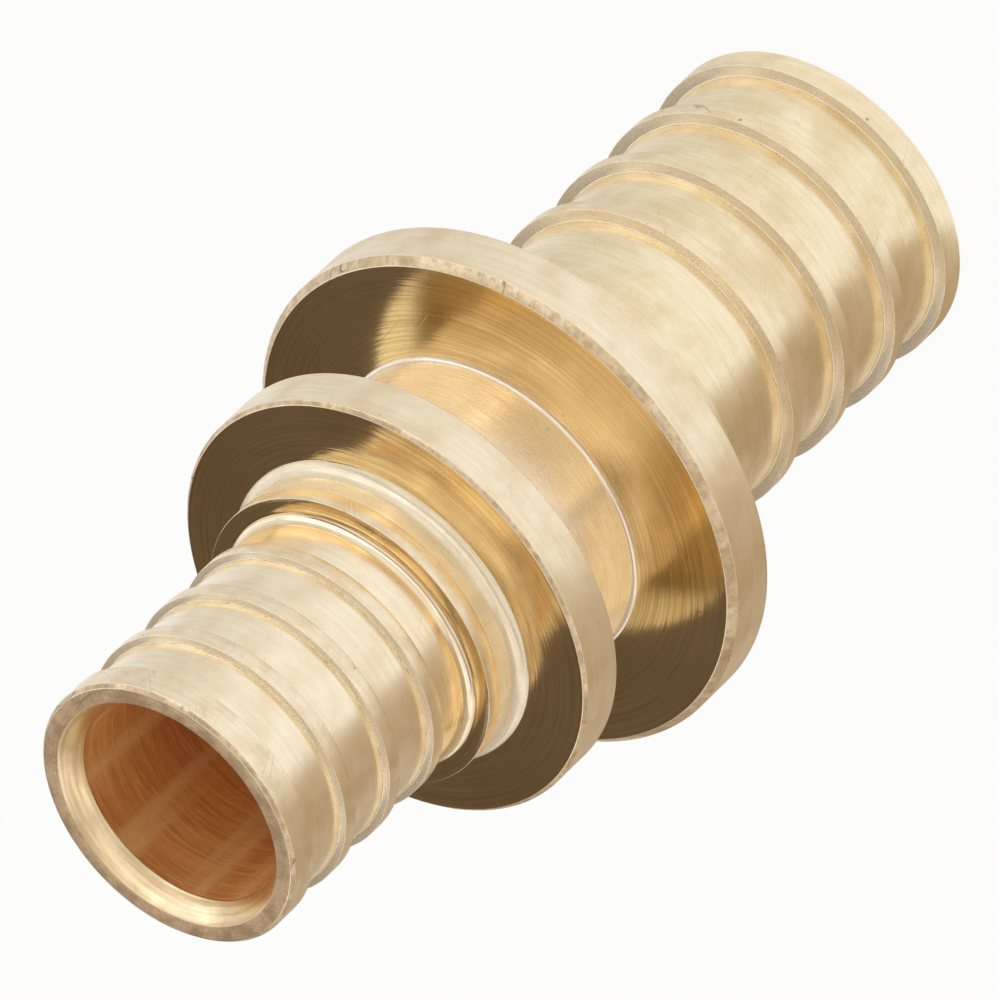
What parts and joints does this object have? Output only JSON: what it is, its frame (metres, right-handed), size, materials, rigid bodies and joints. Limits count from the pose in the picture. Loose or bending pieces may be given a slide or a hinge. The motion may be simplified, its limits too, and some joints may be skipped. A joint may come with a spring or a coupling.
{
  "type": "pipe reducing coupling",
  "caption": "Turned brass coupling for plastic pipe: a ribbed spigot at each end, a stop collar behind each, and flanges either side of a short neck.",
  "frame": {"origin": "centre of the large spigot's end face, on the axis", "axes": "+Z along the axis, from the large spigot to the small one"},
  "size_m": [0.0324, 0.0324, 0.064],
  "materials": {
    "brass": "turned, satin to bright"
  },
  "bodies": {
    "root": {"coupling_body": "brass"}
  },
  "joints": []
}
